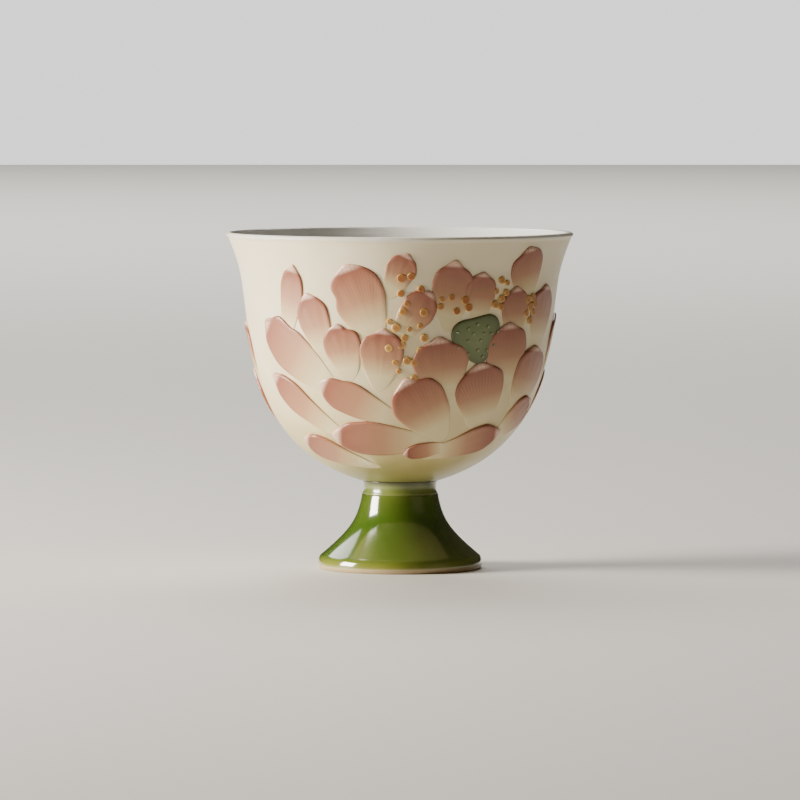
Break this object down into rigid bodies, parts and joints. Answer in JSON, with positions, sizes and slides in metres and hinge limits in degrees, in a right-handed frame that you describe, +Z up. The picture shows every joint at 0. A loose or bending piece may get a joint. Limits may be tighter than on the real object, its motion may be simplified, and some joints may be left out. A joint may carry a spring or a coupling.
{
  "type": "footed tea cup",
  "caption": "Deep porcelain tea cup on a trumpet foot, with a low relief of lotus petals and a seed pod round its wall.",
  "frame": {"origin": "on the table, under the middle of the foot", "axes": "+Z up through the bowl, -Y is the front of the relief"},
  "size_m": [0.07, 0.07, 0.068],
  "materials": {
    "cream_glaze": "satin",
    "collar_glaze": "gloss",
    "foot_glaze": "gloss",
    "petal_glaze": "satin",
    "pod_glaze": "satin"
  },
  "bodies": {
    "root": {"bowl": "cream_glaze", "neck_collar": "collar_glaze", "pedestal_foot": "foot_glaze", "petal_among_stamens": "petal_glaze", "petal_back_high_1": "petal_glaze", "petal_back_high_2": "petal_glaze", "petal_back_high_3": "petal_glaze", "petal_back_high_4": "petal_glaze", "petal_back_high_5": "petal_glaze", "petal_back_low_1": "petal_glaze", "petal_back_low_2": "petal_glaze", "petal_back_low_3": "petal_glaze", "petal_back_low_4": "petal_glaze", "petal_back_low_5": "petal_glaze", "petal_back_middle_1": "petal_glaze", "petal_back_middle_2": "petal_glaze", "petal_back_middle_3": "petal_glaze", "petal_back_middle_4": "petal_glaze", "petal_back_middle_5": "petal_glaze", "petal_back_middle_6": "petal_glaze", "petal_before_pod": "petal_glaze", "petal_bottom_left": "petal_glaze", "petal_bottom_right": "petal_glaze", "petal_bottom_small": "petal_glaze", "petal_bud_left": "petal_glaze", "petal_edge_right": "petal_glaze", "petal_far_left": "petal_glaze", "petal_front_right": "petal_glaze", "petal_hand_left": "petal_glaze", "petal_heart_left": "petal_glaze", "petal_heart_middle": "petal_glaze", "petal_low_edge_right": "petal_glaze", "petal_low_left": "petal_glaze", "petal_low_middle": "petal_glaze", "petal_low_right": "petal_glaze", "petal_pale_left": "petal_glaze", "petal_side_right": "petal_glaze", "petal_top_back": "petal_glaze", "petal_top_back_right": "petal_glaze", "petal_top_right": "petal_glaze", "petal_under_left": "petal_glaze", "petal_upper_left": "petal_glaze", "petal_upper_middle": "petal_glaze", "petal_upper_right": "petal_glaze", "seed_pod": "pod_glaze"}
  },
  "joints": []
}
